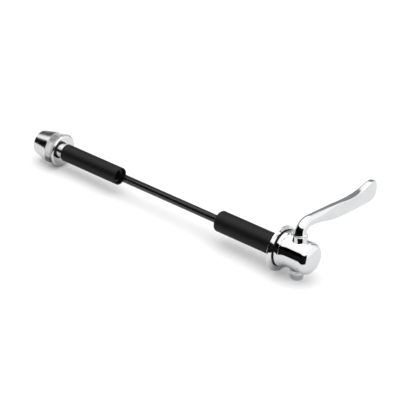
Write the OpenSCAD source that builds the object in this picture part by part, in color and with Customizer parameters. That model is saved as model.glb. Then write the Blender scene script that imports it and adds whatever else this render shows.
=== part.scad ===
// Thru axle adapter: a cam-lever skewer with a stepped sleeve at each end,
// which fills a thru axle frame's two dropout holes so that the frame can be
// clamped in the cups of a training stand.
// Lengths are in millimetres. The axle lies along X, from the cone nut to the
// lever head. The cam turns on Z. The origin is on the axle axis, where the
// lever-side sleeve meets the clamping flange.

/* [Axle] */
// Diameter of the plain rod
rod_d = 4.6; // [4.2:0.1:4.8]
// Outside diameter of the rolled thread on the rod's nut end
thread_d = 5.0; // [4.9:0.1:5.2]
// Pitch of that thread
thread_pitch = 0.8; // [0.7:0.1:1]
// Length of rod that is threaded
thread_l = 25.6; // [20:0.8:32]
// Distance between the two clamping faces
clamp_span = 159.2; // [158:0.2:164]
// Radial clearance of everything that turns or slides on its neighbour
running = 0.05; // [0.02:0.01:0.08]

/* [Sleeves] */
// Outside diameter of the lever-side sleeve
lever_sleeve_d = 12.0; // [11.8:0.05:12]
// Outside diameter of the nut-side sleeve, which passes the threaded dropout
nut_sleeve_d = 10.1; // [10:0.05:10.3]
// Length of each sleeve
sleeve_l = 41.8; // [38:0.2:44]
// Bore of both sleeves
sleeve_bore_d = 8.5; // [8.3:0.1:8.6]
// Gap between the lever-side sleeve and the flange
sleeve_gap = 0.1; // [0.05:0.05:0.3]
// Bare neck of the nut that shows between its face and the sleeve
neck_show = 2.2; // [1:0.2:5]
// Length of each neck that reaches into its sleeve
neck_in = 6; // [4:0.5:8]
// Thickness of the ring that grips the rod inside each sleeve
o_ring_t = 2.05; // [1.9:0.05:2.1]
// Distance from a sleeve's mouth to the middle of its ring
o_ring_in = 2.7; // [2:0.1:5]
// Radius that rounds each sleeve's outer mouth
mouth_round = 0.6; // [0.3:0.05:0.8]
// Depth of the relief in the flange that the lever-side sleeve's end faces
relief = 0.15; // [0.1:0.05:0.4]

/* [Cone nut] */
// Largest radius, over the points of the knurl
nut_r = 10.25; // [10:0.05:10.5]
// Height of the knurl's points
knurl_h = 0.36; // [0.2:0.02:0.5]
// Knurl points round the nut
knurl_n = 58; // [40:2:80]
// Length of the knurled band
knurl_l = 4; // [3:0.2:5]
// Rows of half cells along the band
knurl_rows = 8; // [6:2:12]
// Radius of the clamping face
nut_face_r = 8.6; // [8:0.1:9]
// Length of the small bevel round that face
lip_l = 0.4; // [0.2:0.1:0.6]
// Radius where that bevel meets the long one
lip_r = 9.2; // [9:0.1:9.6]
// Length of the long bevel from there to the knurl
bevel_l = 1.7; // [1:0.1:2.5]
// Length of the cone behind the knurl
cone_l = 11.3; // [8:0.1:12]
// Radius of the cone's small end
cone_end_r = 7.0; // [6:0.1:8]
// Radius of the counterbore that holds the locking ring
lock_r = 3.7; // [3.4:0.1:4]
// Length of the locking ring
lock_l = 4; // [3:0.5:6]
// Distance from the nut's small end to the locking ring
lock_in = 1; // [0.5:0.1:2]
// Distance from the nut's small end to the end of the rod
rod_in = 1.8; // [0:0.1:3]

/* [Head] */
// Largest radius of the clamping flange
flange_r = 12.85; // [12:0.05:13]
// Thickness of the flange
flange_t = 2.3; // [1.8:0.1:2.4]
// Radius of the black washer behind the flange
seal_r = 10.65; // [10.5:0.05:11.2]
// Thickness of that washer
seal_t = 0.8; // [0.6:0.1:1]
// Height of the shell's own axis above the axle, so its wall is thick on top
shell_lift = 1.0; // [0:0.1:1.1]
// Radius of the head where it sits on the washer
bell_r = 10.35; // [10:0.05:10.8]
// Length of the base ring there
base_l = 1.8; // [1:0.1:2.5]
// Length of the sweep from the base ring to the barrel
sweep_l = 3.4; // [2:0.1:5]
// Radius of the barrel
barrel_r = 8.9; // [8.6:0.05:9.2]
// Thickness of the head's end wall, in front of the chamber
dome_wall = 3.8; // [3:0.1:5]
// Length of the dome
dome_l = 4.4; // [4:0.1:6]
// Radius of the flat on the dome
dome_flat_r = 2.6; // [2:0.1:5]
// Radius of the chamber that the follower slides in
chamber_r = 6.8; // [6.7:0.05:7]

/* [Cam] */
// Distance from the origin to the cam's axis
cam_x = 12.2; // [12:0.1:12.6]
// Throw of the cam each side of its axis
cam_e = 1.2; // [0.8:0.1:1.3]
// Radius of the eccentric
cam_r = 2.6; // [2.4:0.1:2.7]
// Radius of the upper journal
journal_r = 3.5; // [3.4:0.1:3.6]
// Radius of the lower journal
foot_r = 2.7; // [2.6:0.1:2.8]
// Radius of the shaft's threaded foot
foot_thread_r = 2.5; // [2.3:0.1:2.5]
// Height of the follower and of the eccentric
follower_h = 8.4; // [8:0.1:8.6]
// Length of the follower from the middle of its eye towards the dome
follower_front = 4.6; // [4.4:0.1:5]
// Length of the follower from the middle of its eye towards the rod
follower_back = 7.2; // [6:0.1:7.4]
// Height of the top of the upper bush
bush_top_z = 12.7; // [12:0.1:13]
// Outside radius of the upper bush
bush_r = 4.2; // [4.1:0.05:4.3]
// Outside radius of the lower bush
low_bush_r = 3.5; // [3.4:0.05:3.7]
// Thickness of the washer over the cap nut
washer_t = 0.7; // [0.5:0.1:1]
// Across the flats of the cap nut
cap_flats = 8; // [7.5:0.1:8]
// Height of the cap nut's hexagon
hex_l = 1.9; // [1.6:0.1:2.4]
// Height of the turned crown under the hexagon
crown_l = 3.15; // [2.8:0.05:4]
// Radius of the crown under the hexagon
crown_r = 3.8; // [3.5:0.05:3.9]
// Radius of the crown at its foot
crown_foot_r = 3.4; // [3:0.05:3.6]
// Turn of the cap nut's corners about the cam axis
cap_turn = 4; // [0:1:60]

/* [Lever] */
// Radius of the bend from the stem to the arm
bend_r = 6.5; // [6:0.1:8]
// Distance from the cam axis to the lever's tip
reach = 66.8; // [62:0.2:70]
// Length of the rounded tip
tip_l = 6.2; // [5:0.2:8]
// Radius of the round stem
stem_r = 3.2; // [3:0.05:3.5]
// How far the stem's foot flares over the collar
stem_flare = 0.8; // [0.3:0.05:0.9]
// Length of the shaft's splined end inside the stem
spline_l = 3.4; // [2:0.2:4]

/* [Hidden] */
$fn = 96;

rod_r = rod_d / 2;
thread_r = thread_d / 2;
thread_depth = 0.45;
thread_form = [0.1, 0.4, 0.6, 0.9];
thread_run = 0.5;
bore_r = sleeve_bore_d / 2;
neck_r = bore_r - running;
flange_x = sleeve_gap;
nut_x = flange_x - clamp_span;
nut_sleeve_x = nut_x + neck_show;
edge = 0.4;
fine_edge = 0.15;
past = 1;

// The ring grips the rod with its bore and sits in a groove of the sleeve.
o_ring_r = o_ring_t / 2;
o_ring_c = rod_r + running + o_ring_r;
groove_r = o_ring_c + o_ring_r + running / 2;
groove_w = o_ring_t + 2 * running;
relief_r = lever_sleeve_d / 2 + 0.2;

// Stations of the nut, measured from its clamping face towards its small end.
knurl_x = lip_l + bevel_l;
cone_x = knurl_x + knurl_l;
nut_l = cone_x + cone_l;
knurl_base_r = nut_r - knurl_h;
knurl_core_r = knurl_base_r - 0.1;
knurl_ring = 1;
rod_end_x = nut_x - nut_l + rod_in;

// Stations of the cam and its follower. The shaft's foot stands on the washer.
follower_play = 0.3;
follower_r = chamber_r - follower_play;
follower_z = follower_h / 2;
eye_x = cam_x + cam_e;
eye_r = cam_r + 0.32;
rod_head_x = eye_x - eye_r - 0.2;
journal_z = follower_z + follower_play;
collar_rise = 2;
collar_z = follower_z + collar_rise;
low_bush_rise = 1.2;
low_bush_z = follower_z + low_bush_rise;
stem_z = bush_top_z + 0.15;
spline_r = 2.2;
pad_cut = 1.3;
pad_z = barrel_r - pad_cut;
pad_r = bush_r + 0.5;
washer_z = pad_z + running;
cap_top_z = washer_z + washer_t;
hex_z = cap_top_z + hex_l;
cap_z = hex_z + crown_l;
foot_thread_l = 3.4;

// Stations of the head, measured from the origin.
seal_x = flange_x + flange_t;
head_x = seal_x + seal_t;
spigot_r = chamber_r - running;
spigot_end_x = head_x + 0.2;
rim_w = 0.7;
rim_l = 0.9;
rim_fall = 0.1;
sweep_h = 1.1;
sweep_x = head_x + base_l + fine_edge + 0.35;
chamber_taper = 1;
chamber_end_x = eye_x + follower_front + 0.3 + chamber_taper;
head_l = chamber_end_x + dome_wall;
dome_x = head_l - dome_l;

// Facets round the lever's section and along each span of its arm.
sides = 32;
steps = 5;
bend_rings = 10;
stem_foot = 0.6;
flare_waist = 0.6;
bend_turn = 85.5;
tip_count = 8;
tip_inset = 0.25;
tip_soften = 3;

// Turns its children so that their Z runs along the axle.
module on_axle(x) {
    translate([x, 0, 0]) rotate([0, 90, 0]) children();
}

// A turned solid on the axle from a list of [radius, x] points.
module turned(points, x = 0) {
    on_axle(x) rotate_extrude() polygon(points);
}

// A tube on the axle from x with length l.
module bore(r, x, l) {
    on_axle(x) cylinder(r = r, h = l);
}

// An upright cylinder on the cam's axis between two heights.
module on_cam(r, z0, z1) {
    translate([cam_x, 0, z0]) cylinder(r = r, h = z1 - z0);
}

// Head: the clamping flange, with the neck that steadies the sleeve.
module head_flange() {
    color("lightgray") difference() {
        turned([
            [0, -neck_in],
            [neck_r - edge, -neck_in],
            [neck_r, edge - neck_in],
            [neck_r, flange_x + relief],
            [relief_r, flange_x + relief],
            [relief_r, flange_x],
            [flange_r - rim_w, flange_x],
            [flange_r - 0.25, flange_x + fine_edge],
            [flange_r, flange_x + 0.55],
            [flange_r - rim_fall, flange_x + rim_l],
            [seal_r + 0.35, seal_x - 0.1],
            [seal_r, seal_x],
            [spigot_r, seal_x],
            [spigot_r, head_x],
            [spigot_r - edge, spigot_end_x],
            [0, spigot_end_x]
        ]);
        bore(rod_r + running, -neck_in - past, neck_in + spigot_end_x + 2 * past);
    }
}

// The black washer between the flange and the head.
module seal_washer() {
    color("black") difference() {
        translate([0, 0, shell_lift]) turned([
            [0, seal_x],
            [seal_r - fine_edge, seal_x],
            [seal_r, seal_x + fine_edge],
            [seal_r, head_x - fine_edge],
            [seal_r - fine_edge, head_x],
            [0, head_x]
        ]);
        bore(chamber_r, seal_x - past, seal_t + 2 * past);
    }
}

// The concave sweep from the head's base ring down to the barrel.
bell_sweep = [
    for (i = [0:8])
        let (a = i * 90 / 8)
        [barrel_r + sweep_h * (1 - sin(a)), sweep_x + sweep_l * (1 - cos(a))]
];

// The quarter of a flattened circle that closes the barrel as a dome.
dome_sweep = [
    for (i = [0:12])
        let (a = i * 90 / 12)
        [
            dome_flat_r + (barrel_r - dome_flat_r) * cos(a),
            dome_x + (head_l - dome_x) * sin(a)
        ]
];

// The head's one-piece shell, closed by its dome and open at the flange.
module head_barrel() {
    color("silver") difference() {
        translate([0, 0, shell_lift]) turned(concat(
            [
                [0, head_x],
                [bell_r - 2 * fine_edge, head_x],
                [bell_r, head_x + 2 * fine_edge],
                [bell_r, head_x + base_l - 2 * fine_edge],
                [bell_r - 2 * fine_edge, head_x + base_l],
                [barrel_r + sweep_h, head_x + base_l + fine_edge]
            ],
            bell_sweep,
            dome_sweep,
            [[0, head_l]]
        ));
        turned([
            [0, head_x - past],
            [chamber_r, head_x - past],
            [chamber_r, chamber_end_x - chamber_taper],
            [chamber_r - chamber_taper, chamber_end_x],
            [0, chamber_end_x]
        ]);
        on_cam(bush_r, 0, barrel_r + shell_lift + past);
        on_cam(low_bush_r, -barrel_r, 0);
        on_cam(pad_r, -barrel_r, -pad_z);
    }
}

// The collar on top of the barrel is the upper end of this bush.
module upper_bush() {
    color("gainsboro") difference() {
        union() {
            on_cam(bush_r, collar_z, bush_top_z - edge);
            translate([cam_x, 0, bush_top_z - edge]) cylinder(r1 = bush_r, r2 = bush_r - edge, h = edge);
        }
        on_cam(journal_r + running, 0, bush_top_z + past);
    }
}

module lower_bush() {
    color("gainsboro") difference() {
        on_cam(low_bush_r, -pad_z, -low_bush_z);
        on_cam(foot_r + running, -pad_z - past, 0);
    }
}

// Cam: the turned shaft, whose middle is off centre towards the dome at rest.
module cam_shaft() {
    color("lightsteelblue") {
        on_cam(spline_r, stem_z, stem_z + spline_l);
        on_cam(journal_r, journal_z, stem_z);
        translate([eye_x, 0, -journal_z]) cylinder(r = cam_r, h = 2 * journal_z);
        on_cam(foot_r, -cap_top_z, -journal_z);
        on_cam(foot_thread_r, -cap_top_z - foot_thread_l, -cap_top_z);
    }
}

module cap_washer() {
    color("silver") difference() {
        on_cam(bush_r, -cap_top_z, -washer_z);
        on_cam(foot_r, -cap_top_z - past, 0);
    }
}

// The blind cap nut under the barrel: a hexagon with a turned crown.
module cap_nut() {
    color("silver") difference() {
        union() {
            translate([cam_x, 0, -hex_z]) rotate(cap_turn) intersection() {
                cylinder(d = cap_flats / cos(30), h = hex_l, $fn = 6);
                cylinder(r1 = cap_flats / 2, r2 = cap_flats / 2 + hex_l * 1.2, h = hex_l);
            }
            translate([cam_x, 0, 0]) rotate_extrude() polygon([
                [0, -cap_z],
                [crown_foot_r - edge, -cap_z],
                [crown_foot_r - fine_edge, -cap_z + fine_edge],
                [crown_foot_r, -cap_z + edge],
                [crown_r, -hex_z + fine_edge],
                [crown_r, -cap_top_z - edge],
                [0, -cap_top_z - edge]
            ]);
        }
        on_cam(foot_thread_r, -cap_top_z - foot_thread_l, 0);
    }
}

// Rod: plain shank, with the rolled thread drawn as rings at its nut end.
module skewer_rod() {
    rings = floor(thread_l / thread_pitch);
    color("dimgray") turned(concat(
        [[0, rod_end_x], [thread_r - thread_depth, rod_end_x]],
        [
            for (i = [0:rings - 1], k = [0:3])
                [
                    thread_r - (k == 1 || k == 2 ? 0 : thread_depth),
                    rod_end_x + thread_run + (i + thread_form[k]) * thread_pitch
                ]
        ],
        [
            [rod_r, rod_end_x + thread_l + 2 * thread_run],
            [rod_r, rod_head_x],
            [0, rod_head_x]
        ]
    ));
}

// The block that the eccentric pulls. Its eye is a slot across the axle.
module cam_follower() {
    color("slategray") difference() {
        intersection() {
            bore(follower_r, eye_x - follower_back, follower_back + follower_front);
            translate([0, -follower_r, -follower_z]) cube([head_l, 2 * follower_r, follower_h]);
        }
        bore(rod_r, eye_x - follower_back - past, rod_head_x - eye_x + follower_back + past);
        for (y = [0, -cam_e - running])
            translate([eye_x, y, -follower_z - past]) cylinder(r = eye_r, h = follower_h + 2 * past);
        translate([eye_x - eye_r, -cam_e - running, -follower_z - past])
            cube([2 * eye_r, cam_e + running, follower_h + 2 * past]);
    }
}

// Sleeve: a stepped-down tube with a rounded mouth and a groove for its ring.
// x is its mouth; dir points from the mouth into the sleeve.
module sleeve(r, mouth_x, dir) {
    translate([mouth_x, 0, 0]) rotate([0, dir * 90, 0]) rotate_extrude() polygon([
        [bore_r + 2 * fine_edge, 0],
        [r - mouth_round, 0],
        [r - 0.3 * mouth_round, 0.3 * mouth_round],
        [r, mouth_round],
        [r, sleeve_l],
        [bore_r, sleeve_l],
        [bore_r, o_ring_in + groove_w / 2],
        [groove_r, o_ring_in + groove_w / 2],
        [groove_r, o_ring_in - groove_w / 2],
        [bore_r, o_ring_in - groove_w / 2],
        [bore_r, 2 * fine_edge]
    ]);
}

module o_ring(x) {
    on_axle(x) rotate_extrude() translate([o_ring_c, 0]) circle(r = o_ring_r, $fn = 32);
}

module lever_sleeve() {
    color("#1c1c1c") sleeve(lever_sleeve_d / 2, -sleeve_l, 1);
}

module nut_sleeve() {
    color("#1c1c1c") sleeve(nut_sleeve_d / 2, nut_sleeve_x + sleeve_l, -1);
}

module lever_o_ring() {
    color("#101010") o_ring(o_ring_in - sleeve_l);
}

module nut_o_ring() {
    color("#101010") o_ring(nut_sleeve_x + sleeve_l - o_ring_in);
}

// Points of the knurl lie on a grid: odd points are the bottoms of the cut
// grooves, and even ones the tips of the pyramids between them.
function knurl_point(i, j) =
    let (
        a = 180 * i / knurl_n,
        r = (i + j) % 2 == 0 && j > 0 && j < knurl_rows ? nut_r : knurl_base_r
    )
    [r * cos(a), r * sin(a), knurl_l * j / knurl_rows];

// The knurled band: its two triangles in each cell meet along a groove.
module knurl_band() {
    n = 2 * knurl_n;
    inner_r = knurl_base_r - knurl_ring;
    outer = [for (j = [0:knurl_rows], i = [0:n - 1]) knurl_point(i, j)];
    inner = [
        for (z = [0, knurl_l], i = [0:n - 1])
            [inner_r * cos(360 * i / n), inner_r * sin(360 * i / n), z]
    ];
    base = n * (knurl_rows + 1);
    cells = [
        for (j = [0:knurl_rows - 1], i = [0:n - 1])
            let (
                k = (i + 1) % n,
                p = j * n + i,
                q = j * n + k,
                r = p + n,
                s = q + n
            )
            each (i + j) % 2 == 0 ? [[p, r, q], [q, r, s]] : [[p, s, q], [p, r, s]]
    ];
    walls = [
        for (i = [0:n - 1])
            let (k = (i + 1) % n)
            each [
                [i, k, base + k, base + i],
                [base + i, base + k, base + n + k, base + n + i],
                [base + n + i, base + n + k, knurl_rows * n + k, knurl_rows * n + i]
            ]
    ];
    polyhedron(concat(outer, inner), concat(cells, walls));
}

// Cone nut: polished cone, knurled band, bevelled lip and clamping face.
module cone_nut() {
    color("silver") difference() {
        union() {
            turned([
                [0, -nut_l],
                [cone_end_r - edge, -nut_l],
                [cone_end_r, edge - nut_l],
                [knurl_core_r, -cone_x],
                [knurl_core_r, -knurl_x],
                [nut_r, -knurl_x],
                [lip_r, -lip_l],
                [nut_face_r, 0],
                [neck_r, 0],
                [neck_r, neck_show + neck_in - edge],
                [neck_r - edge, neck_show + neck_in],
                [0, neck_show + neck_in]
            ], nut_x);
            on_axle(nut_x - cone_x) knurl_band();
        }
        bore(thread_r + running, nut_x - nut_l - past, nut_l + neck_show + neck_in + 2 * past);
        bore(lock_r, nut_x - nut_l - past, lock_in + lock_l + past);
    }
}

// The nylon ring that keeps the nut from working loose.
module lock_ring() {
    color("white") difference() {
        bore(lock_r, nut_x - nut_l + lock_in, lock_l);
        bore(thread_r + running, nut_x - nut_l, lock_in + lock_l + past);
    }
}

// Lever arm, seen from above the head: each station is the distance out from
// the cam's axis, the sideways offset, the height, half the thickness, half
// the depth and the squareness of the section.
arm = [
    [bend_r, 0.05, stem_z - 0.65 + bend_r, 2.9, 3.2, 2],
    [15, 0.45, 18.3, 2.8, 3.6, 2.1],
    [22, 0.75, 17.5, 2.4, 4.2, 2.8],
    [30, 0.95, 16.6, 1.85, 4.5, 5],
    [40, 1.0, 16.0, 2.15, 4.2, 7],
    [50, 0.6, 15.8, 2.15, 4.65, 7],
    [reach - tip_l, 0, 16.25, 1.9, 6.1, 6]
];

// Smooth curve through the stations at segment k and fraction t.
function arm_at(k, t) =
    let (
        p0 = arm[max(k - 1, 0)],
        p1 = arm[k],
        p2 = arm[k + 1],
        p3 = arm[min(k + 2, len(arm) - 1)]
    )
    0.5 * (2 * p1 + (p2 - p0) * t + (2 * p0 - 5 * p1 + 4 * p2 - p3) * t * t
        + (3 * p1 - p0 - 3 * p2 + p3) * t * t * t);

// One ring of the lever: [out, offset, height, thick, deep, square, tilt].
stem_rings = [
    for (z = [0, fine_edge])
        let (r = stem_r + stem_flare - fine_edge + z)
        [0, 0, stem_z + z, r, r, 2, 0]
];
stem_foot_z = stem_z + stem_foot;
bend_height = arm[0][2] - stem_foot_z;
bend_sections = [
    for (i = [0:bend_rings - 1])
        let (
            f = i / bend_rings,
            a = bend_turn * i / (bend_rings - 1),
            flare = flare_waist * stem_flare * pow(1 - min(i, 3) / 3, 2)
        )
        [
            bend_r * (1 - cos(a)),
            arm[0][1] * f,
            stem_foot_z + bend_height * sin(a),
            stem_r + flare + (arm[0][3] - stem_r) * f,
            stem_r + flare + (arm[0][4] - stem_r) * f,
            2,
            a
        ]
];
arm_sections = [
    for (k = [0:len(arm) - 2], i = [0:steps - 1])
        let (p = arm_at(k, i / steps), q = arm_at(k, i / steps + 0.02))
        [p[0], p[1], p[2], p[3], p[4], p[5], 90 + atan2(p[2] - q[2], q[0] - p[0])]
];
tip = arm[len(arm) - 1];
tip_sections = [
    for (i = [0:tip_count - 1])
        let (
            a = i * 90 / (tip_count - 1),
            s = max(pow(cos(a), 0.6), 0.12)
        )
        [
            tip[0] + tip_l * pow(sin(a), 0.85),
            tip[1] - tip_inset * sin(a),
            tip[2],
            tip[3] * (0.35 + 0.65 * s),
            tip[4] * s,
            tip[5] - tip_soften * sin(a),
            90
        ]
];
lever_rings = concat(stem_rings, bend_sections, arm_sections, tip_sections);

function lever_point(g, i) =
    let (
        a = 360 * i / sides,
        u = g[3] * sign(cos(a)) * pow(abs(cos(a)), 2 / g[5]),
        v = g[4] * sign(sin(a)) * pow(abs(sin(a)), 2 / g[5])
    )
    [cam_x + g[1] + u, g[0] + v * cos(g[6]), g[2] - v * sin(g[6])];

// The forged lever, swept through its rings, with a hole for the shaft.
module lever() {
    m = len(lever_rings);
    points = [for (g = lever_rings, i = [0:sides - 1]) lever_point(g, i)];
    faces = concat(
        [[for (i = [0:sides - 1]) i]],
        [
            for (j = [0:m - 2], i = [0:sides - 1])
                let (k = (i + 1) % sides)
                [j * sides + i, (j + 1) * sides + i, (j + 1) * sides + k, j * sides + k]
        ],
        [[for (i = [0:sides - 1]) m * sides - 1 - i]]
    );
    color("whitesmoke") difference() {
        polyhedron(points, faces);
        on_cam(spline_r, stem_z - past, stem_z + spline_l);
    }
}

head_flange();
seal_washer();
head_barrel();
upper_bush();
lower_bush();
lever();
cam_shaft();
cap_washer();
cap_nut();
skewer_rod();
cam_follower();
lever_sleeve();
lever_o_ring();
nut_sleeve();
nut_o_ring();
cone_nut();
lock_ring();
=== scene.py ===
"""Thru axle adapter: a cam-lever skewer with a black sleeve at each end.

Everything is in metres, in the CAD frame: the axle lies along X from the cone
nut to the lever head, the cam turns on Z, and the closed lever points along Y.
Sizes below are written in millimetres and multiplied by mm.
"""

import math

import bmesh
import bpy
from mathutils import Matrix, Vector


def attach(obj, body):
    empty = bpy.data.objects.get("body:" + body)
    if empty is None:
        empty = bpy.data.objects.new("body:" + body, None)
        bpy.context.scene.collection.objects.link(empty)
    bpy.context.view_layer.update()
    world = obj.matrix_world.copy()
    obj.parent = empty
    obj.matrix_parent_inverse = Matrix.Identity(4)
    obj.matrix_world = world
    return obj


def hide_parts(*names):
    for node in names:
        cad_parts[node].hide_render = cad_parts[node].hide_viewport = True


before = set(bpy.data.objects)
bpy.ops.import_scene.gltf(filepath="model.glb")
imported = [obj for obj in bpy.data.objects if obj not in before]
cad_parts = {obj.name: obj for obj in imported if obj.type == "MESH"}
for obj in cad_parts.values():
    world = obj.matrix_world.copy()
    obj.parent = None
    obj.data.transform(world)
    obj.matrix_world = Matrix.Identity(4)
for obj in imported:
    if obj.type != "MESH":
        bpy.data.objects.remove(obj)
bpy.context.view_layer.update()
mm = 0.001

# Sizes, in millimetres

running = 0.05
rod_r = 2.3
thread_r = 2.5
thread_depth = 0.45
thread_pitch = 0.8
thread_l = 25.6
thread_lead = 0.3
bore_r = 4.25
neck_r = 4.2
neck_in = 6.0
sleeve_l = 41.8
lever_sleeve_r = 6.0
nut_sleeve_r = 5.05
o_ring_t = 2.05
o_ring_in = 2.7
o_ring_r = o_ring_t / 2
o_ring_c = rod_r + running + o_ring_r
groove_play = 0.02
groove_r = o_ring_c + o_ring_r + groove_play

flange_x = 0.1
flange_r = 12.85
relief = 0.15
relief_r = lever_sleeve_r + 0.2
seal_x = 2.4
seal_r = 10.65
head_x = 3.2
bell_r = 10.35
barrel_r = 8.9
shell_z = 1.0
sweep_h = 1.1
sweep_l = 3.4
sweep_x = head_x + 2.3
dome_x = 18.7
head_l = 23.1
dome_flat_r = 2.6
chamber_r = 6.8
chamber_end_x = 19.3
chamber_taper = 1

nut_x = -159.1
neck_show = 2.2
nut_sleeve_x = nut_x + neck_show
nut_r = 10.25
nut_face_r = 8.6
lip_l = 0.4
lip_r = 9.2
knurl_x = 2.1
knurl_h = 0.36
knurl_n = 58
knurl_rows = 8
rows_over_bevel = 2
knurl_sunk = 0.02
knurl_l = 4.0
knurl_tip_r = 0.09
knurl_spread = 1.03
bevel_slope = 0.5
cone_x = knurl_x + knurl_l
cone_l = 11.3
nut_l = cone_x + cone_l
cone_end_r = 7.0
valley_r = nut_r - knurl_h
lock_r = 3.7
lock_l = 4
lock_in = 1
lock_end = lock_in + lock_l
nut_bore_r = thread_r + running
rod_in = 1.8
rod_end_x = nut_x - nut_l + rod_in

cam_x = 12.2
cam_e = 1.2
eye_r = 2.92
eye_gap = 0.2
bush_r = 4.2
bush_top_z = 12.7
bush_foot_z = 6.2
low_bush_r = 3.5
journal_r = 3.5
spline_r = 2.2
spline_l = 3.4
stem_z = bush_top_z + 0.15
foot_r = 2.7
foot_thread_r = 2.5
foot_thread_l = 3.4
pad_r = bush_r + 0.5
pad_z = 7.6
cap_top_z = 8.35
cap_flats = 8.0
cap_turn = 4
hex_l = 1.9
hex_z = cap_top_z + hex_l
crown_r = 3.8
crown_foot_r = 3.4
crown_edge = 0.4
crown_l = 3.15
cap_z = hex_z + crown_l

bend_r = 6.5
bend_turn = 85.5
reach = 66.8
tip_l = 6.2
stem_r = 3.2
stem_foot = 0.6
arm_offset = 0.05

# Outlines


def outline(corners, closed=True, steps=6):
    """Rounds the corners (radius, station, fillet) of a turned outline."""
    made = []
    count = len(corners)
    for i, corner in enumerate(corners):
        fillet = corner[2] if len(corner) > 2 else 0
        here = Vector(corner[:2])
        if not fillet or (not closed and i in (0, count - 1)):
            made.append(tuple(here))
            continue
        before = Vector(corners[i - 1][:2]) - here
        after = Vector(corners[(i + 1) % count][:2]) - here
        u = before.normalized()
        v = after.normalized()
        half = u.angle(v) / 2
        leg = min(fillet / math.tan(half), 0.49 * before.length, 0.49 * after.length)
        centre = here + (u + v).normalized() * leg / math.cos(half)
        first = here + u * leg - centre
        last = here + v * leg - centre
        turn = first.angle_signed(last)
        for k in range(steps + 1):
            spoke = first.copy()
            spoke.rotate(Matrix.Rotation(-turn * k / steps, 2))
            made.append(tuple(centre + spoke))
    return made


def arc(centre, radii, start, end, steps):
    """Points of a flattened arc (radius, station) from start to end degrees."""
    return [
        (
            centre[0] + radii[0] * math.cos(math.radians(start + (end - start) * i / steps)),
            centre[1] + radii[1] * math.sin(math.radians(start + (end - start) * i / steps)),
        )
        for i in range(steps + 1)
    ]


# Meshes


def finished(name, bm, material, sharp=35):
    """Makes an object from a bmesh, smooth but crisp at its real edges."""
    bmesh.ops.recalc_face_normals(bm, faces=bm.faces)
    mesh = bpy.data.meshes.new(name)
    bm.to_mesh(mesh)
    bm.free()
    mesh.materials.append(material)
    mesh.polygons.foreach_set("use_smooth", [True] * len(mesh.polygons))
    mesh.set_sharp_from_angle(angle=math.radians(sharp))
    piece = bpy.data.objects.new(name, mesh)
    bpy.context.scene.collection.objects.link(piece)
    return piece


def baked(piece):
    """Replaces a piece's mesh by what its modifiers make of it."""
    bpy.context.view_layer.update()
    graph = bpy.context.evaluated_depsgraph_get()
    ready = piece.evaluated_get(graph)
    mesh = bpy.data.meshes.new_from_object(ready, preserve_all_data_layers=True, depsgraph=graph)
    piece.modifiers.clear()
    old = piece.data
    piece.data = mesh
    bpy.data.meshes.remove(old)
    mesh.name = piece.name
    return piece


def even_shading(piece):
    """Lets large faces set the shading, so that flats stay flat by a fillet."""
    weigh = piece.modifiers.new("even", "WEIGHTED_NORMAL")
    weigh.keep_sharp = True
    weigh.weight = 50
    return baked(piece)


def turned(name, points, material, axis="x", centre=(0, 0), segments=144, closed=True, sharp=35):
    """Spins an outline of (radius, station) about the axle or the cam's axis."""
    bm = bmesh.new()
    rows = []
    for radius, station in points:
        spokes = segments if radius > 1e-6 else 1
        row = []
        for i in range(spokes):
            a = 2 * math.pi * i / segments
            c = centre[0] + radius * math.cos(a)
            s = centre[1] + radius * math.sin(a)
            place = (station, c, s) if axis == "x" else (c, s, station)
            row.append(bm.verts.new(Vector(place) * mm))
        rows.append(row)
    following = rows[1:] + (rows[:1] if closed else [])
    for a, b in zip(rows, following):
        for i in range(segments):
            k = (i + 1) % segments
            if len(a) == 1 and len(b) == 1:
                break
            if len(a) == 1:
                bm.faces.new((a[0], b[i], b[k]))
            elif len(b) == 1:
                bm.faces.new((a[i], b[0], a[k]))
            else:
                bm.faces.new((a[i], b[i], b[k], a[k]))
    return finished(name, bm, material, sharp)


def lofted(name, rings, material, sharp=50):
    """Skins a row of rings, each a list of points in millimetres."""
    bm = bmesh.new()
    rows = [[bm.verts.new(Vector(p) * mm) for p in ring] for ring in rings]
    for a, b in zip(rows, rows[1:]):
        for i in range(len(a)):
            k = (i + 1) % len(a)
            bm.faces.new((a[i], a[k], b[k], b[i]))
    bm.faces.new(rows[0])
    bm.faces.new(rows[-1])
    return finished(name, bm, material, sharp)


def cut(piece, *tools, sharp=35):
    """Cuts the tools out of a piece and deletes them."""
    for tool in tools:
        knife = piece.modifiers.new("cut", "BOOLEAN")
        knife.operation = "DIFFERENCE"
        knife.solver = "EXACT"
        knife.object = tool
        baked(piece)
        bpy.data.objects.remove(tool)
    piece.data.set_sharp_from_angle(angle=math.radians(sharp))
    return piece


# Node trees and finishes


class Nodes:
    """A small hand for adding and joining nodes."""

    def __init__(self, tree):
        self.tree = tree

    def add(self, kind, links=(), **settings):
        """Adds a node; links gives each input a socket to read or a plain value."""
        node = self.tree.nodes.new(kind)
        for key, value in settings.items():
            setattr(node, key, value)
        for socket, source in dict(links).items():
            if isinstance(source, bpy.types.NodeSocket):
                self.tree.links.new(source, node.inputs[socket])
            else:
                node.inputs[socket].default_value = source
        return node

    def math(self, operation, a, b=0.0, clamp=False):
        """Adds a math node and gives its output."""
        node = self.add("ShaderNodeMath", {0: a, 1: b}, operation=operation)
        node.use_clamp = clamp
        return node.outputs[0]


def material(name):
    """A new material with its tree emptied down to shader and output."""
    made = bpy.data.materials.new(name)
    made.use_nodes = True
    made.node_tree.nodes.clear()
    nodes = Nodes(made.node_tree)
    shader = nodes.add("ShaderNodeBsdfPrincipled")
    out = nodes.add("ShaderNodeOutputMaterial")
    made.node_tree.links.new(shader.outputs[0], out.inputs[0])
    return made, nodes, shader


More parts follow.
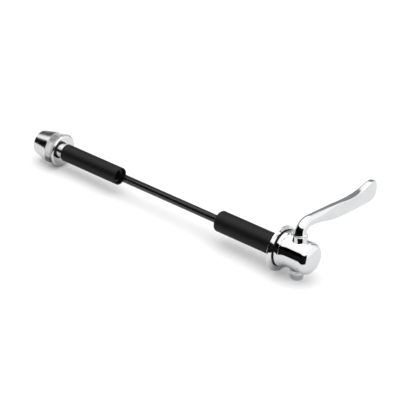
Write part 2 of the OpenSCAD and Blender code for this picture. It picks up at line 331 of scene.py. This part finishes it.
def surface(
    name, colour, rough, patch, grain, depth, stretch=(1, 1, 1), metallic=0.0, specular=0.5, wear=0.3
):
    """A worked surface: colour and gloss drift in patches and a fine grain lifts it.

    rough is the least and greatest roughness, patch and grain are the sizes
    of the two patterns in millimetres, depth is the grain's height in
    millimetres, stretch draws the grain out along the tool's path, and wear
    is how much darker the colour gets in its patches.
    """
    made, nodes, shader = material(name)
    where = nodes.add("ShaderNodeTexCoord").outputs["Object"]
    drift = nodes.add(
        "ShaderNodeTexNoise",
        {"Vector": where, "Scale": 1 / (patch * mm), "Detail": 3.0, "Roughness": 0.55},
    ).outputs["Fac"]
    tone = nodes.add("ShaderNodeMix", data_type="RGBA")
    dark = tuple(c * (1 - wear) for c in colour) + (1.0,)
    tone.inputs["A"].default_value = dark
    tone.inputs["B"].default_value = tuple(colour) + (1.0,)
    nodes.tree.links.new(drift, tone.inputs["Factor"])
    nodes.tree.links.new(tone.outputs["Result"], shader.inputs["Base Color"])
    pulled = nodes.add(
        "ShaderNodeMapping", {"Vector": where, "Scale": tuple(1 / s for s in stretch)}
    ).outputs[0]
    fine = nodes.add(
        "ShaderNodeTexNoise",
        {"Vector": pulled, "Scale": 1 / (grain * mm), "Detail": 4.0, "Roughness": 0.6},
    ).outputs["Fac"]
    mixed = nodes.math("ADD", nodes.math("MULTIPLY", drift, 0.6), nodes.math("MULTIPLY", fine, 0.4))
    gloss = nodes.add(
        "ShaderNodeMapRange",
        {"Value": mixed, "From Min": 0.3, "From Max": 0.7, "To Min": rough[0], "To Max": rough[1]},
    ).outputs[0]
    nodes.tree.links.new(gloss, shader.inputs["Roughness"])
    lift = nodes.add(
        "ShaderNodeBump", {"Height": fine, "Distance": depth * mm, "Strength": 1.0}
    ).outputs[0]
    nodes.tree.links.new(lift, shader.inputs["Normal"])
    shader.inputs["Metallic"].default_value = metallic
    shader.inputs["Specular IOR Level"].default_value = specular
    return made


def metal(name, colour, rough, patch, grain, depth, stretch=(1, 1, 1)):
    """A bare or plated metal, with less wear in its colour than a black finish."""
    return surface(name, colour, rough, patch, grain, depth, stretch, metallic=1.0, wear=0.12)


def paint_groove_shade(finish, low_r, high_r, shade):
    """Paints shade into a finish's colour around the axle below a radius: the knurl's grooves are
    darkened as painted shade.
    """
    tree = finish.node_tree
    nodes = Nodes(tree)
    shader = tree.nodes["Principled BSDF"]
    place = nodes.add("ShaderNodeTexCoord").outputs["Object"]
    part = nodes.add("ShaderNodeSeparateXYZ", {0: place}).outputs
    squares = [nodes.math("POWER", part[i], 2.0) for i in (1, 2)]
    radius = nodes.math("SQRT", nodes.math("ADD", *squares))
    # Painted shade: the colour is multiplied by shade at the low radius, rising to 1 at the high
    # radius.
    shade_by_radius = nodes.add(
        "ShaderNodeMapRange",
        {
            "Value": radius,
            "From Min": low_r * mm,
            "From Max": high_r * mm,
            "To Min": shade,
            "To Max": 1.0,
        },
    ).outputs[0]
    tone = nodes.add("ShaderNodeMix", data_type="RGBA", blend_type="MULTIPLY")
    tone.inputs["Factor"].default_value = 1.0
    tree.links.new(shader.inputs["Base Color"].links[0].from_socket, tone.inputs["A"])
    tree.links.new(shade_by_radius, tone.inputs["B"])
    tree.links.new(tone.outputs["Result"], shader.inputs["Base Color"])


plate = (0.86, 0.87, 0.88)
lathe_rings = (0.25, 8, 8)
along_axle = (6, 1, 1)

chrome = metal("bright_chrome", plate, rough=(0.02, 0.06), patch=9, grain=1.2, depth=0.0016)
turned_chrome = metal(
    "turned_chrome", plate, rough=(0.04, 0.08), patch=6, grain=0.5, depth=0.0012, stretch=lathe_rings
)
forged_chrome = metal(
    "forged_chrome", (0.85, 0.86, 0.87), rough=(0.05, 0.12), patch=7, grain=2.6, depth=0.014
)
polished_nut = metal(
    "polished_nut",
    (0.83, 0.83, 0.83),
    rough=(0.1, 0.18),
    patch=5,
    grain=0.5,
    depth=0.005,
    stretch=lathe_rings,
)
knurl_metal = metal(
    "knurled_plating", (0.86, 0.86, 0.86), rough=(0.1, 0.18), patch=2, grain=0.25, depth=0.002
)
# The knurl's grooves get painted shade, at half brightness in the valleys.
paint_groove_shade(knurl_metal, valley_r + 0.05, nut_r - 0.12, shade=0.5)
turned_steel = metal(
    "turned_steel",
    (0.56, 0.56, 0.56),
    rough=(0.22, 0.34),
    patch=3,
    grain=0.4,
    depth=0.006,
    stretch=(0.3, 5, 5),
)
black_anodised = surface(
    "black_anodised",
    (0.006, 0.006, 0.0062),
    rough=(0.4, 0.5),
    patch=6,
    grain=0.22,
    depth=0.006,
    specular=0.2,
)
rod_finish = surface(
    "black_rod_finish",
    (0.004, 0.004, 0.0045),
    rough=(0.14, 0.22),
    patch=12,
    grain=0.6,
    depth=0.002,
    stretch=along_axle,
)
rubber = surface(
    "black_rubber", (0.012, 0.012, 0.012), rough=(0.3, 0.42), patch=3, grain=0.2, depth=0.004
)
seal_plastic = surface(
    "seal_plastic",
    (0.004, 0.004, 0.004),
    rough=(0.5, 0.6),
    patch=4,
    grain=0.3,
    depth=0.004,
    specular=0.2,
)
nylon = surface(
    "natural_nylon", (0.72, 0.70, 0.64), rough=(0.3, 0.4), patch=3, grain=0.3, depth=0.003, wear=0.12
)

# The head


def make_flange():
    """Clamping flange with its rolled rim, and the neck inside the sleeve."""
    points = outline(
        [
            (rod_r + running, -neck_in, 0.1),
            (neck_r, -neck_in, 0.4),
            (neck_r, flange_x + relief, 0.1),
            (relief_r, flange_x + relief, 0.05),
            (relief_r, flange_x, 0.05),
            (flange_r - 0.35, flange_x, 0.15),
            (flange_r, flange_x + 0.4, 0.3),
            (flange_r - 0.06, flange_x + 1.05, 0.12),
            (seal_r + 0.3, seal_x - 0.12, 0.2),
            (seal_r - 0.2, seal_x, 0.1),
            (chamber_r - running, seal_x, 0),
            (chamber_r - running, head_x, 0.2),
            (rod_r + running, head_x + 0.2, 0.1),
        ]
    )
    return even_shading(turned("flange", points, turned_chrome, segments=192))


def make_seal():
    """The black washer that shows as a line between flange and shell."""
    points = outline(
        [
            (chamber_r, seal_x, 0),
            (seal_r, seal_x, 0.2),
            (seal_r, head_x, 0.2),
            (chamber_r, head_x, 0),
        ]
    )
    return even_shading(turned("seal", points, seal_plastic, centre=(0, shell_z)))


def make_barrel():
    """The shell: a base ring, a concave sweep, the barrel and a flattened dome."""
    bell = arc((barrel_r + sweep_h, sweep_x + sweep_l), (sweep_h, sweep_l), 270, 180, 16)
    dome = arc((dome_flat_r, dome_x), (barrel_r - dome_flat_r, head_l - dome_x), 0, 90, 32)
    points = (
        [(chamber_r, head_x)]
        + outline(
            [
                (chamber_r, head_x),
                (bell_r, head_x, 0.3),
                (bell_r, sweep_x - 0.4, 0.35),
                (barrel_r + sweep_h, sweep_x, 0.1),
            ],
            closed=False,
        )[1:-1]
        + bell
        + dome
        + [(0, head_l), (0, chamber_end_x)]
        + [(chamber_r - chamber_taper, chamber_end_x), (chamber_r, chamber_end_x - chamber_taper)]
    )
    shell = turned("barrel", points, chrome, centre=(0, shell_z), segments=256)

    above = 12
    below = -10

    def drill(name, radius, start, end):
        """A cutter on the cam's axis, which reaches past the barrel."""
        corners = [(0, start), (radius, start), (radius, end), (0, end)]
        return turned(name, corners, chrome, "z", (cam_x, 0))

    upper = drill("upper_hole", bush_r, 0, above)
    lower = drill("lower_hole", low_bush_r, 0, below)
    spot = drill("spot_face", pad_r, -pad_z, below)
    return cut(shell, upper, lower, spot)


def make_collar():
    """The bush that stands out of the barrel as a bright collar."""
    points = outline(
        [
            (journal_r + running, bush_foot_z, 0),
            (bush_r, bush_foot_z, 0),
            (bush_r, bush_top_z, 0.4),
            (journal_r + running, bush_top_z, 0.12),
        ]
    )
    return even_shading(turned("collar", points, chrome, "z", (cam_x, 0)))


def make_cap_washer():
    """The washer between the cap nut and the flat under the barrel."""
    points = outline(
        [
            (foot_r, -cap_top_z, 0.08),
            (bush_r, -cap_top_z, 0.18),
            (bush_r, -pad_z - running, 0.18),
            (foot_r, -pad_z - running, 0.08),
        ]
    )
    return even_shading(turned("cap_washer_ring", points, chrome, "z", (cam_x, 0)))


def make_cap_nut():
    """Blind nut: a chamfered hexagon over a turned crown that narrows downwards."""
    flat = cap_flats / 2
    corner_sharpness = 18
    chamfer_slope = 1.2
    levels = 24
    turns = [2 * math.pi * i / 180 for i in range(180)]

    def ring(reach_at, z):
        return [(cam_x + reach_at(a) * math.cos(a), reach_at(a) * math.sin(a), z) for a in turns]

    def hexagon(height):
        """The lesser of a hexagon's reach and its chamfer's, blended at the corner."""
        chamfer = flat + chamfer_slope * height

        def reach_at(a):
            off = (a - math.radians(cap_turn)) % (math.pi / 3) - math.pi / 6
            side = flat / math.cos(off)
            shares = [math.exp(-reach_here * corner_sharpness) for reach_here in (side, chamfer)]
            return -math.log(sum(shares)) / corner_sharpness

        return reach_at

    rings = [
        ring(lambda a: foot_thread_r, -cap_top_z - foot_thread_l),
        ring(lambda a: foot_thread_r, -cap_top_z),
    ]
    for t in range(levels + 1):
        down = hex_l * t / levels
        rings.append(ring(hexagon(hex_l - down), -cap_top_z - down))
    crown = [(crown_r + 0.06, -hex_z - 0.01), (crown_r, -hex_z - 0.12)]
    crown += [(crown_foot_r + 0.02, -cap_z + crown_edge + 0.1)]
    edge_centre = (crown_foot_r - crown_edge, -cap_z + crown_edge)
    crown += arc(edge_centre, (crown_edge, crown_edge), 0, -90, 8)
    crown += [(0.02, -cap_z)]
    rings += [ring(lambda a, r=radius: r, z) for radius, z in crown]
    return lofted("cap_nut_body", rings, chrome, 30)


# The lever


def lever_ring(out, offset, height, thick, deep, square, tilt, sides=96):
    """One section of the lever: a superellipse, tilted as the arm bends."""
    ring = []
    for i in range(sides):
        a = 2 * math.pi * i / sides
        u = thick * math.copysign(abs(math.cos(a)) ** (2 / square), math.cos(a))
        v = deep * math.copysign(abs(math.sin(a)) ** (2 / square), math.sin(a))
        ring.append(
            (
                cam_x + offset + u,
                out + v * math.cos(math.radians(tilt)),
                height - v * math.sin(math.radians(tilt)),
            )
        )
    return ring


# Stations of the arm: out, offset, height, half thickness, half depth, squareness
arm = [
    (bend_r, arm_offset, stem_z - 0.65 + bend_r, 2.9, 3.2, 2),
    (15, 0.45, 18.3, 2.8, 3.6, 2.1),
    (22, 0.75, 17.5, 2.4, 4.2, 2.8),
    (30, 0.95, 16.6, 1.85, 4.5, 5),
    (40, 1.0, 16.0, 2.15, 4.2, 7),
    (50, 0.6, 15.8, 2.15, 4.65, 7),
    (reach - tip_l, 0, 16.25, 1.9, 6.1, 6),
]


def arm_at(k, t):
    """A smooth curve through the arm's stations at span k and fraction t."""
    before = arm[max(k - 1, 0)]
    here = arm[k]
    there = arm[k + 1]
    after = arm[min(k + 2, len(arm) - 1)]
    return [
        0.5
        * (
            2 * b
            + (c - a) * t
            + (2 * a - 5 * b + 4 * c - d) * t * t
            + (3 * b - a - 3 * c + d) * t**3
        )
        for a, b, c, d in zip(before, here, there, after)
    ]


def make_lever():
    """The forged lever: round stem, bend, arm and flared thumb paddle."""
    foot_bead = [(0, 0.68), (0.05, 0.75), (0.15, 0.79), (0.28, 0.76), (0.42, 0.66)]
    rings = [lever_ring(0, 0, stem_z + z, stem_r + r, stem_r + r, 2, 0) for z, r in foot_bead]
    foot_z = stem_z + stem_foot
    foot_flare = 0.48
    flare_end = 28.5
    thinning = 0.3
    offset_turn = 95
    bend_steps = 30
    for i in range(bend_steps + 1):
        tilt = bend_turn * i / bend_steps
        a = math.radians(tilt)
        share = tilt / offset_turn
        flare = foot_flare * (1 - min(tilt / flare_end, 1)) ** 2
        rings.append(
            lever_ring(
                bend_r * (1 - math.cos(a)),
                arm_offset * share,
                foot_z + (arm[0][2] - foot_z) * math.sin(a),
                stem_r + flare - thinning * share,
                stem_r + flare,
                2,
                tilt,
            )
        )
    steps = 14
    for k in range(len(arm) - 1):
        for i in range(steps):
            p = arm_at(k, i / steps)
            q = arm_at(k, i / steps + 0.01)
            tilt = 90 + math.degrees(math.atan2(p[2] - q[2], q[0] - p[0]))
            rings.append(lever_ring(*p[:5], max(p[5], 2), tilt))
    out, offset, height, thick, deep, square = arm[-1]
    tip_steps = 24
    for i in range(tip_steps + 1):
        a = math.radians(i * 90 / tip_steps)
        s = max(math.cos(a) ** 0.6 if i < tip_steps else 0, 0.02)
        rings.append(
            lever_ring(
                out + tip_l * math.sin(a) ** 0.85,
                offset - 0.25 * math.sin(a),
                height,
                thick * (0.35 + 0.65 * s),
                deep * s,
                square - 3 * math.sin(a),
                90,
            )
        )
    arm_piece = lofted("lever_arm", rings, forged_chrome, 60)
    socket_r = spline_r + 0.01
    low = stem_z - 1
    high = stem_z + spline_l
    corners = [(0, low), (socket_r, low), (socket_r, high), (0, high)]
    socket = turned("socket", corners, forged_chrome, "z", (cam_x, 0))
    return cut(arm_piece, socket, sharp=60)


# The sleeves, their rings and the rod


def make_sleeve(name, radius, mouth_x, way):
    """A sleeve with a rounded mouth, a ring groove and a square inner end."""
    groove_start = o_ring_in - o_ring_r - running
    groove_end = o_ring_in + o_ring_r + running
    corners = [
        (bore_r, 0, 0.3),
        (radius, 0, 0.6),
        (radius, sleeve_l, 0.15),
        (bore_r, sleeve_l, 0.15),
        (bore_r, groove_end, 0.05),
        (groove_r, groove_end, 0.05),
        (groove_r, groove_start, 0.05),
        (bore_r, groove_start, 0.05),
    ]
    points = [(r, mouth_x + way * s) for r, s in outline(corners)]
    return even_shading(turned(name, points, black_anodised))


def make_ring(name, x):
    """A round rubber ring on the rod."""
    points = arc((o_ring_c, x), (o_ring_r, o_ring_r), 0, 360, 32)[:-1]
    return turned(name, points, rubber, sharp=80)


def thread_rule():
    """Node tree that raises a rolled thread on a turned rod, by a helix rule."""
    tree = bpy.data.node_groups.new("rolled_thread", "GeometryNodeTree")
    face = tree.interface
    face.new_socket("Geometry", in_out="INPUT", socket_type="NodeSocketGeometry")
    for name in ("Pitch", "Depth", "Start", "End"):
        face.new_socket(name, in_out="INPUT", socket_type="NodeSocketFloat")
    face.new_socket("Finish", in_out="INPUT", socket_type="NodeSocketMaterial")
    face.new_socket("Geometry", in_out="OUTPUT", socket_type="NodeSocketGeometry")
    nodes = Nodes(tree)
    given = nodes.add("NodeGroupInput").outputs
    place = nodes.add(
        "ShaderNodeSeparateXYZ", {0: nodes.add("GeometryNodeInputPosition").outputs[0]}
    ).outputs
    angle = nodes.math("DIVIDE", nodes.math("ARCTAN2", place[1], place[2]), 2 * math.pi)
    rise = nodes.math("DIVIDE", nodes.math("SUBTRACT", place[0], given["Start"]), given["Pitch"])
    fall = nodes.math("DIVIDE", nodes.math("SUBTRACT", given["End"], place[0]), given["Pitch"])
    phase = nodes.math("FRACT", nodes.math("ADD", nodes.math("ADD", rise, angle), 8.0))
    swing = nodes.math("SUBTRACT", nodes.math("MULTIPLY", phase, 2.0), 1.0)
    flank = nodes.math("ABSOLUTE", swing)
    ridge = nodes.add(
        "ShaderNodeMapRange",
        {"Value": flank, "From Min": 0.15, "From Max": 0.8, "To Min": 1.0, "To Max": 0.0},
    ).outputs[0]
    run_in = nodes.math("MULTIPLY", rise, 1.0, True)
    run_out = nodes.math("MULTIPLY", fall, 1.0, True)
    fade = nodes.math("MINIMUM", run_in, run_out)
    lift = nodes.math("MULTIPLY", nodes.math("MULTIPLY", ridge, fade), given["Depth"])
    flat = nodes.add("ShaderNodeCombineXYZ", {"X": 0.0, "Y": place[1], "Z": place[2]}).outputs[0]
    outward = nodes.add("ShaderNodeVectorMath", {0: flat}, operation="NORMALIZE").outputs[0]
    shift = nodes.add("ShaderNodeVectorMath", {0: outward}, operation="SCALE")
    tree.links.new(lift, shift.inputs["Scale"])
    moved = nodes.add(
        "GeometryNodeSetPosition", {"Geometry": given["Geometry"], "Offset": shift.outputs[0]}
    ).outputs[0]
    real = nodes.add("GeometryNodeRealizeInstances", {0: moved}).outputs[0]
    done = nodes.add(
        "GeometryNodeSetMaterial", {"Geometry": real, "Material": given["Finish"]}
    ).outputs[0]
    nodes.add("NodeGroupOutput", {0: done})
    return tree


def set_inputs(modifier, values):
    """Sets a modifier's named inputs by their sockets' identifiers."""
    for item in modifier.node_group.interface.items_tree:
        if item.in_out == "INPUT" and item.name in values:
            modifier[item.identifier] = values[item.name]


def make_rod():
    """The long rod: plain shank, and a rolled thread inside the nut."""
    start = rod_end_x + thread_lead
    end = start + thread_l + thread_lead
    eye_x = cam_x + cam_e - eye_r - eye_gap
    root = thread_r - thread_depth
    rings = 300
    points = [(0, rod_end_x), (root - 0.4, rod_end_x)]
    points += [(root, start + (end - start) * i / rings) for i in range(rings + 1)]
    points += [(rod_r, end + thread_lead), (rod_r, eye_x), (0, eye_x)]
    rod = turned("rod", points, rod_finish, segments=72, sharp=30, closed=False)
    thread = rod.modifiers.new("thread", "NODES")
    thread.node_group = thread_rule()
    set_inputs(
        thread,
        {
            "Pitch": thread_pitch * mm,
            "Depth": thread_depth * mm,
            "Start": start * mm,
            "End": end * mm,
            "Finish": rod_finish,
        },
    )
    baked(rod)
    rod.data.set_sharp_from_angle(angle=math.radians(40))
    return rod


# The cone nut


def knurl_rule():
    """Node tree that sets diamond points in staggered rows round the nut."""
    tree = bpy.data.node_groups.new("diamond_knurl", "GeometryNodeTree")
    face = tree.interface
    face.new_socket("Geometry", in_out="INPUT", socket_type="NodeSocketGeometry")
    for name in ("Points round", "Rows"):
        face.new_socket(name, in_out="INPUT", socket_type="NodeSocketInt")
    for name in (
        "Start",
        "Row pitch",
        "Valley radius",
        "Height",
        "Tip radius",
        "Spread",
        "Bevel start",
        "Bevel slope",
    ):
        face.new_socket(name, in_out="INPUT", socket_type="NodeSocketFloat")
    face.new_socket("Finish", in_out="INPUT", socket_type="NodeSocketMaterial")
    face.new_socket("Geometry", in_out="OUTPUT", socket_type="NodeSocketGeometry")
    nodes = Nodes(tree)
    given = nodes.add("NodeGroupInput").outputs
    round_n = given["Points round"]
    index = nodes.add("GeometryNodeInputIndex").outputs[0]
    column = nodes.math("MODULO", index, round_n)
    row = nodes.math("FLOOR", nodes.math("DIVIDE", nodes.math("ADD", index, 0.5), round_n))
    row_number = nodes.math("ADD", row, 1.0)
    stagger = nodes.math("MULTIPLY", nodes.math("MODULO", row_number, 2.0), 0.5)
    share = nodes.math("DIVIDE", nodes.math("ADD", column, stagger), round_n)
    angle = nodes.math("MULTIPLY", share, 2 * math.pi)
    along = nodes.math("MULTIPLY", row_number, given["Row pitch"])
    x = nodes.math("ADD", given["Start"], along)
    past_bevel = nodes.math("MAXIMUM", nodes.math("SUBTRACT", x, given["Bevel start"]), 0.0)
    drop = nodes.math("MULTIPLY", past_bevel, given["Bevel slope"])
    radius = nodes.math("SUBTRACT", given["Valley radius"], drop)
    y = nodes.math("MULTIPLY", nodes.math("COSINE", angle), radius)
    z = nodes.math("MULTIPLY", nodes.math("SINE", angle), radius)
    place = nodes.add("ShaderNodeCombineXYZ", {"X": x, "Y": y, "Z": z}).outputs[0]
    count = nodes.math("MULTIPLY", round_n, given["Rows"])
    points = nodes.add("GeometryNodePoints", {"Count": count, "Position": place}).outputs[0]
    point = nodes.add(
        "GeometryNodeMeshCone",
        {
            "Vertices": 4,
            "Radius Top": given["Tip radius"],
            "Radius Bottom": nodes.math("MULTIPLY", given["Row pitch"], given["Spread"]),
            "Depth": given["Height"],
        },
        fill_type="NGON",
    ).outputs["Mesh"]
    faceted = nodes.add(
        "GeometryNodeSetShadeSmooth", {"Geometry": point, "Shade Smooth": False}
    ).outputs[0]
    lean = nodes.math("SUBTRACT", angle, math.pi / 2)
    turn = nodes.add("ShaderNodeCombineXYZ", {"X": lean}).outputs[0]
    set_round = nodes.add(
        "GeometryNodeInstanceOnPoints", {"Points": points, "Instance": faceted, "Rotation": turn}
    ).outputs[0]
    real = nodes.add("GeometryNodeRealizeInstances", {0: set_round}).outputs[0]
    plated = nodes.add(
        "GeometryNodeSetMaterial", {"Geometry": real, "Material": given["Finish"]}
    ).outputs[0]
    joined = nodes.add("GeometryNodeJoinGeometry")
    tree.links.new(plated, joined.inputs[0])
    tree.links.new(given["Geometry"], joined.inputs[0])
    nodes.add("NodeGroupOutput", {0: joined.outputs[0]})
    return tree


def make_nut():
    """Cone nut: polished cone, knurled band, bevelled lip, face and neck."""
    corners = [
        (nut_bore_r, lock_end - nut_l, 0),
        (lock_r, lock_end - nut_l, 0),
        (lock_r, -nut_l, 0.15),
        (cone_end_r, -nut_l, 0.5),
        (valley_r - 0.1, -cone_x, 0.05),
        (valley_r - 0.04, -knurl_x, 0),
        (lip_r + 0.05, -lip_l - 0.35, 0.05),
        (lip_r, -lip_l, 0.12),
        (nut_face_r, 0, 0.15),
        (neck_r, 0, 0.1),
        (neck_r, neck_show + neck_in, 0.4),
        (nut_bore_r, neck_show + neck_in, 0.1),
    ]
    points = [(r, nut_x + s) for r, s in outline(corners)]
    nut = turned("nut_body", points, polished_nut, segments=192)
    even_shading(nut)
    band = nut.modifiers.new("knurl", "NODES")
    band.node_group = knurl_rule()
    set_inputs(
        band,
        {
            "Points round": knurl_n,
            "Rows": knurl_rows + rows_over_bevel,
            "Bevel start": (nut_x - knurl_x) * mm,
            "Bevel slope": bevel_slope,
            "Tip radius": knurl_tip_r * mm,
            "Spread": knurl_spread,
            "Start": (nut_x - cone_x) * mm,
            "Row pitch": knurl_l / knurl_rows * mm,
            "Valley radius": (valley_r - knurl_sunk) * mm,
            "Height": (knurl_h + knurl_sunk) * mm,
            "Finish": knurl_metal,
        },
    )
    return baked(nut)


def make_lock():
    """The nylon ring pressed into the nut's small end."""
    end = nut_x - nut_l
    points = outline(
        [
            (nut_bore_r, end + lock_in, 0.2),
            (lock_r, end + lock_in, 0.2),
            (lock_r, end + lock_end, 0),
            (nut_bore_r, end + lock_end, 0),
        ]
    )
    return turned("nylon_ring", points, nylon, segments=96)


# Every piece on its body

nut_mouth_x = nut_sleeve_x + sleeve_l

# Each piece with its body, its finish's slot and the solid that it stands in for
pieces = [
    (make_flange(), "head", "flange_metal", "head_flange"),
    (make_seal(), "head", "washer_black", "seal_washer"),
    (make_barrel(), "head", "head_metal", "head_barrel"),
    (make_collar(), "head", "bush_metal", "upper_bush"),
    (make_lever(), "lever", "lever_metal", "lever"),
    (make_cap_washer(), "lever", "cap_metal", "cap_washer"),
    (make_cap_nut(), "lever", "cap_metal", "cap_nut"),
    (make_rod(), "rod", "rod_black", "skewer_rod"),
    (
        make_sleeve("lever_side_sleeve", lever_sleeve_r, -sleeve_l, 1),
        "lever_sleeve",
        "sleeve_black",
        "lever_sleeve",
    ),
    (
        make_ring("lever_side_ring", -sleeve_l + o_ring_in),
        "lever_sleeve",
        "ring_rubber",
        "lever_o_ring",
    ),
    (
        make_sleeve("nut_side_sleeve", nut_sleeve_r, nut_mouth_x, -1),
        "nut_sleeve",
        "sleeve_black",
        "nut_sleeve",
    ),
    (
        make_ring("nut_side_ring", nut_mouth_x - o_ring_in),
        "nut_sleeve",
        "ring_rubber",
        "nut_o_ring",
    ),
    (make_nut(), "nut", "nut_metal", "cone_nut"),
    (make_lock(), "nut", "lock_nylon", "lock_ring"),
]
for piece, body, slot, node in pieces:
    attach(piece, body)
    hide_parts(node)

# The solids of the mechanism are kept as they are, in turned steel
for node in ("cam_shaft", "cam_follower", "lower_bush"):
    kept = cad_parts[node]
    kept.data.materials.clear()
    kept.data.materials.append(turned_steel)

# The studio

cap_touch_x = cam_x - crown_foot_r + crown_edge
floor_rise = 0.0185


def floor_z(x):
    """Height of the floor in millimetres: it touches the cap nut and the cone nut."""
    return -cap_z + floor_rise * (cap_touch_x - x)


def grey(value):
    return (value, value, value, 1)


def make_floor():
    """Pale floor, whitened to the camera, with the object's shadow kept."""
    half = 2500
    own_tone = 0.72
    mirrored_tone = 0.7
    whitening = 0.24
    mesh = bpy.data.meshes.new("floor")
    corners = [(-half, -half), (half, -half), (half, half), (-half, half)]
    mesh.from_pydata([(x * mm, y * mm, floor_z(x) * mm) for x, y in corners], [], [(0, 1, 2, 3)])
    floor = bpy.data.objects.new("floor", mesh)
    bpy.context.scene.collection.objects.link(floor)
    made, nodes, shader = material("pale_floor")
    shader.inputs["Roughness"].default_value = 0.9
    shader.inputs["Specular IOR Level"].default_value = 0.0
    path = nodes.add("ShaderNodeLightPath").outputs
    tone = nodes.add("ShaderNodeMix", data_type="RGBA")
    tone.inputs["A"].default_value = grey(own_tone)
    tone.inputs["B"].default_value = grey(mirrored_tone)
    nodes.tree.links.new(path["Is Glossy Ray"], tone.inputs["Factor"])
    nodes.tree.links.new(tone.outputs["Result"], shader.inputs["Base Color"])
    shader.inputs["Emission Color"].default_value = grey(1)
    glow = nodes.math("MULTIPLY", path["Is Camera Ray"], whitening)
    nodes.tree.links.new(glow, shader.inputs["Emission Strength"])
    mesh.materials.append(made)


def make_black_fence():
    """A low dark fence that only the plating mirrors: the room past the white sheet."""
    low, high = -14, 20
    line = [(-600, -57), (4, -57), (37, -33), (56, -12)]
    mesh = bpy.data.meshes.new("black_fence")
    mesh.from_pydata(
        [Vector((x, y, z)) * mm for z in (low, high) for x, y in line],
        [],
        [(i, i + 1, i + 1 + len(line), i + len(line)) for i in range(len(line) - 1)],
    )
    fence = bpy.data.objects.new("black_fence", mesh)
    bpy.context.scene.collection.objects.link(fence)
    made, nodes, shader = material("black_flag")
    shader.inputs["Base Color"].default_value = grey(0.01)
    shader.inputs["Roughness"].default_value = 1.0
    shader.inputs["Specular IOR Level"].default_value = 0.0
    mesh.materials.append(made)
    for ray in ("camera", "diffuse", "shadow", "transmission", "volume_scatter"):
        setattr(fence, "visible_" + ray, False)


def light_studio():
    """White overhead tent, bright front right, dimmer back, white to the camera."""
    world = bpy.data.worlds.new("studio")
    bpy.context.scene.world = world
    world.use_nodes = True
    world.node_tree.nodes.clear()
    nodes = Nodes(world.node_tree)
    way = nodes.add(
        "ShaderNodeSeparateXYZ", {0: nodes.add("ShaderNodeTexCoord").outputs["Generated"]}
    ).outputs

    def step(value, low, high, start, end):
        return nodes.add(
            "ShaderNodeMapRange",
            {"Value": value, "From Min": low, "From Max": high, "To Min": start, "To Max": end},
            interpolation_type="SMOOTHSTEP",
        ).outputs[0]

    def tilted(x_share, y_share):
        """Height of a direction, with shares of its x and y added."""
        x_part = nodes.math("MULTIPLY", way[0], x_share)
        y_part = nodes.math("MULTIPLY", way[1], y_share)
        return nodes.math("ADD", way[2], nodes.math("ADD", y_part, x_part))

    def inverse(value):
        return nodes.math("SUBTRACT", 1.0, value)

    # Degrees round from the axle's lever end, and the heights of the room's and tent's edges
    turn = nodes.math("MULTIPLY", nodes.math("ARCTAN2", way[1], way[0]), 180 / math.pi)
    room = nodes.math("MULTIPLY", step(turn, -176, -164, 0.0, 1.0), step(turn, -14, -4, 1.0, 0.0))
    room = nodes.math("MULTIPLY", room, step(tilted(0.08, 0.45), 0.21, 0.29, 1.0, 0.0))
    walls = nodes.math("ADD", step(turn, 62, 98, 1.12, 0.28), step(turn, 134, 150, 0.0, -0.18))
    walls = nodes.math("MULTIPLY", walls, step(turn, -176, -170, 0.1, 1.0))
    tent = step(tilted(0.0, -0.45), 0.36, 0.42, 0.0, 1.0)
    tent_light = step(way[2], 0.72, 0.9, 1.15, 2.3)
    light = nodes.math(
        "ADD", nodes.math("MULTIPLY", walls, inverse(tent)), nodes.math("MULTIPLY", tent, tent_light)
    )
    light = nodes.math("MULTIPLY", light, inverse(room))
    seen = nodes.add("ShaderNodeLightPath").outputs["Is Camera Ray"]
    strength = nodes.math("ADD", nodes.math("MULTIPLY", light, inverse(seen)), seen)
    sky = nodes.add("ShaderNodeBackground", {"Color": grey(1), "Strength": strength})
    nodes.add("ShaderNodeOutputWorld", {0: sky.outputs[0]})


def add_camera():
    """The photo's view: a long lens, placed so that the object's edges fall as they do there."""
    place = (0.565122, -0.769494, 0.530964)
    tilt, roll, pan = 62.06757, -2.69044, 40.36398
    data = bpy.data.cameras.new("camera")
    data.lens = 184.756
    data.sensor_width = 36
    data.clip_start = 0.05
    data.clip_end = 20
    camera = bpy.data.objects.new("camera", data)
    bpy.context.scene.collection.objects.link(camera)
    camera.location = place
    camera.rotation_euler = [math.radians(angle) for angle in (tilt, roll, pan)]
    bpy.context.scene.camera = camera


make_floor()
make_black_fence()
light_studio()
add_camera()
bpy.context.scene.view_settings.view_transform = "Standard"
